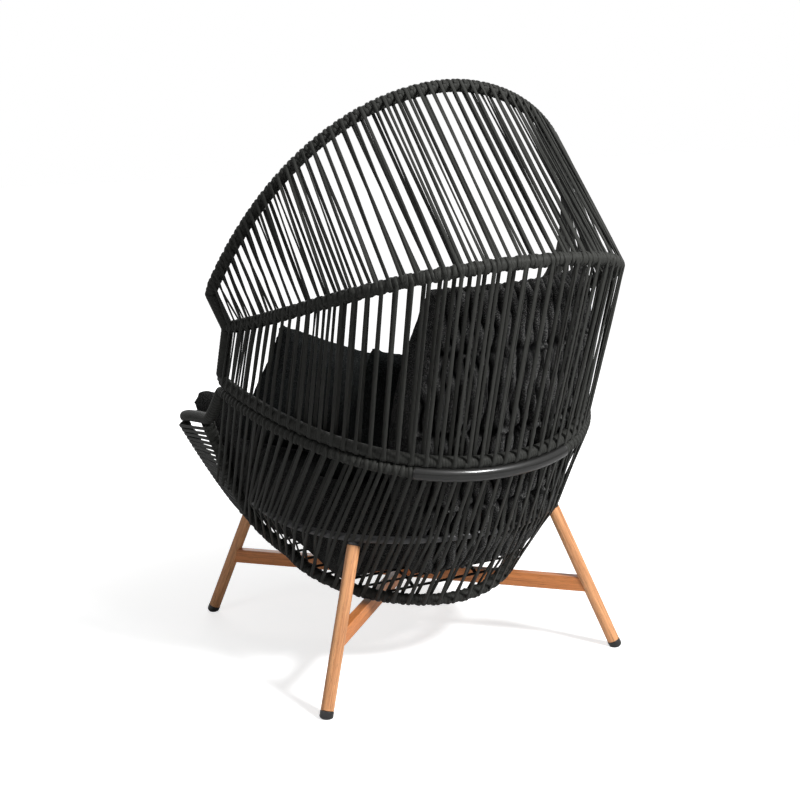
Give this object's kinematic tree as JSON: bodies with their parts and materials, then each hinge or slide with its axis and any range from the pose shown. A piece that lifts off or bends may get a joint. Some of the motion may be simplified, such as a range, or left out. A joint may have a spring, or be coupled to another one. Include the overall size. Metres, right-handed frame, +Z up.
{
  "type": "hooded outdoor armchair",
  "caption": "Hooded outdoor lounge armchair: cord strung on a bent metal tube frame, splayed wooden legs tied by crossed bars, loose dark cushions.",
  "frame": {"origin": "centre of the footprint at floor level", "axes": "+Z up, the chair's front faces -Y, +X is on the left of someone who sits in it"},
  "size_m": [0.9093, 1.0787, 1.2729],
  "materials": {
    "cord": "satin flat synthetic cord",
    "frame_tube": "black powder coat",
    "teak": "oiled",
    "teak_bar": "oiled",
    "foot_plastic": "satin",
    "heather_fabric": "woven, heathered",
    "plain_fabric": "woven"
  },
  "bodies": {
    "root": {"front_hoop_tube": "frame_tube", "back_rail_tube": "frame_tube", "upper_seam_tube": "frame_tube", "lower_rim_tube": "frame_tube", "lower_hoop_tube": "frame_tube", "leg_ring_tube": "frame_tube", "hood_cords_01": "cord", "hood_cords_02": "cord", "hood_cords_03": "cord", "hood_cords_04": "cord", "hood_cords_05": "cord", "hood_cords_06": "cord", "back_cords_01": "cord", "back_cords_02": "cord", "back_cords_03": "cord", "back_cords_04": "cord", "back_cords_05": "cord", "back_cords_06": "cord", "basket_cords_01": "cord", "basket_cords_02": "cord", "basket_cords_03": "cord", "basket_cords_04": "cord", "basket_cords_05": "cord", "basket_cords_06": "cord", "post_wrap_left": "cord", "post_wrap_right": "cord", "brow_wrap_left": "cord", "brow_wrap_right": "cord", "arm_wrap_left": "cord", "arm_wrap_right": "cord", "front_cords": "cord", "floor_cords": "cord", "leg_front_left": "teak", "leg_front_right": "teak", "leg_rear_left": "teak", "leg_rear_right": "teak", "socket_front_left": "frame_tube", "socket_front_right": "frame_tube", "socket_rear_left": "frame_tube", "socket_rear_right": "frame_tube", "foot_cap_front_left": "foot_plastic", "foot_cap_front_right": "foot_plastic", "foot_cap_rear_left": "foot_plastic", "foot_cap_rear_right": "foot_plastic", "stretcher_left_front": "teak_bar", "stretcher_right_front": "teak_bar", "cross_bolt": "frame_tube", "seat_cushion": "heather_fabric", "back_cushion": "heather_fabric", "side_pillow": "plain_fabric", "middle_pillow": "plain_fabric"}
  },
  "joints": []
}
